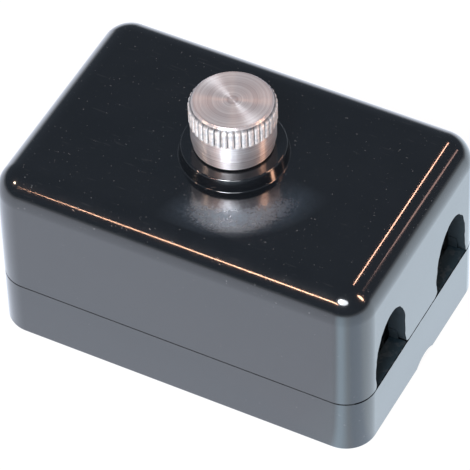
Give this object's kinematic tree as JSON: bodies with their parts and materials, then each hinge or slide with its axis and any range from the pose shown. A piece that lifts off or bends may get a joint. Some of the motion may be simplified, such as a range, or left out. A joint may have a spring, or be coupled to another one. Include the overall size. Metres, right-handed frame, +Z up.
{
  "type": "fuse box",
  "caption": "Glossy black moulded fuse box with a lift-off cover held by a knurled nut on a bolt, arched cable entries and torpedo fuses between sprung contacts.",
  "frame": {"origin": "middle of the underside", "axes": "+X along the length towards the end with the relief in its lower edge, +Y to the rear, +Z up along the bolt"},
  "size_m": [0.06, 0.04, 0.0417],
  "materials": {
    "black_moulding": "glossy pressed phenolic",
    "black_moulding_cover": "glossy pressed phenolic",
    "turned_aluminium": "turned and knurled, satin",
    "plated_steel": "zinc plated",
    "fibre": "dark vulcanised fibre",
    "brass_spring": "rolled strip",
    "brass_screw": "turned",
    "ceramic": "glazed white ceramic",
    "copper": "thin rolled strip"
  },
  "bodies": {
    "base": {"base": "black_moulding", "centre_bolt": "plated_steel", "pillar_nut": "plated_steel", "contact_front_left": "brass_spring", "terminal_nut_front_left": "plated_steel", "contact_front_right": "brass_spring", "terminal_nut_front_right": "plated_steel", "contact_rear_left": "brass_spring", "terminal_nut_rear_left": "plated_steel", "contact_rear_right": "brass_spring", "terminal_nut_rear_right": "plated_steel", "fuse_body_front": "ceramic", "fuse_strip_front": "copper", "fuse_body_rear": "ceramic", "fuse_strip_rear": "copper"},
    "cover": {"cover": "black_moulding_cover"},
    "nut_washer": {"nut_washer": "fibre"},
    "knurled_nut": {"knurled_nut": "turned_aluminium"},
    "clamp_front_left": {"clamp_washer_front_left": "plated_steel"},
    "screw_front_left": {"terminal_screw_front_left": "brass_screw"},
    "clamp_front_right": {"clamp_washer_front_right": "plated_steel"},
    "screw_front_right": {"terminal_screw_front_right": "brass_screw"},
    "clamp_rear_left": {"clamp_washer_rear_left": "plated_steel"},
    "screw_rear_left": {"terminal_screw_rear_left": "brass_screw"},
    "clamp_rear_right": {"clamp_washer_rear_right": "plated_steel"},
    "screw_rear_right": {"terminal_screw_rear_right": "brass_screw"}
  },
  "joints": [
    {"name": "cover_lift", "type": "slide", "parent": "base", "child": "cover", "axis": [0, 0, 1], "range_m": [0, 0.032]},
    {"name": "nut_rise", "type": "slide", "parent": "cover", "child": "nut_washer", "axis": [0, 0, 1], "range_m": [0, 0.0056]},
    {"name": "nut_turn", "type": "hinge", "parent": "nut_washer", "child": "knurled_nut", "pos_m": [0, 0, 0.0375], "axis": [0, 0, 1], "range_deg": [0, 2880]},
    {"name": "clamp_lift_front_left", "type": "slide", "parent": "base", "child": "clamp_front_left", "axis": [0, 0, 1], "range_m": [0, 0.0021]},
    {"name": "screw_turn_front_left", "type": "hinge", "parent": "clamp_front_left", "child": "screw_front_left", "pos_m": [-0.02, -0.01, 0.0095], "axis": [0, 0, 1], "range_deg": [0, 1080]},
    {"name": "clamp_lift_front_right", "type": "slide", "parent": "base", "child": "clamp_front_right", "axis": [0, 0, 1], "range_m": [0, 0.0021]},
    {"name": "screw_turn_front_right", "type": "hinge", "parent": "clamp_front_right", "child": "screw_front_right", "pos_m": [0.02, -0.01, 0.0095], "axis": [0, 0, 1], "range_deg": [0, 1080]},
    {"name": "clamp_lift_rear_left", "type": "slide", "parent": "base", "child": "clamp_rear_left", "axis": [0, 0, 1], "range_m": [0, 0.0021]},
    {"name": "screw_turn_rear_left", "type": "hinge", "parent": "clamp_rear_left", "child": "screw_rear_left", "pos_m": [-0.02, 0.01, 0.0095], "axis": [0, 0, 1], "range_deg": [0, 1080]},
    {"name": "clamp_lift_rear_right", "type": "slide", "parent": "base", "child": "clamp_rear_right", "axis": [0, 0, 1], "range_m": [0, 0.0021]},
    {"name": "screw_turn_rear_right", "type": "hinge", "parent": "clamp_rear_right", "child": "screw_rear_right", "pos_m": [0.02, 0.01, 0.0095], "axis": [0, 0, 1], "range_deg": [0, 1080]}
  ],
  "couplings": [
    {"joint": "nut_turn", "follows": "nut_rise", "rad_per_m": 8976},
    {"joint": "screw_turn_front_left", "follows": "clamp_lift_front_left", "rad_per_m": 8976},
    {"joint": "screw_turn_front_right", "follows": "clamp_lift_front_right", "rad_per_m": 8976},
    {"joint": "screw_turn_rear_left", "follows": "clamp_lift_rear_left", "rad_per_m": 8976},
    {"joint": "screw_turn_rear_right", "follows": "clamp_lift_rear_right", "rad_per_m": 8976}
  ]
}
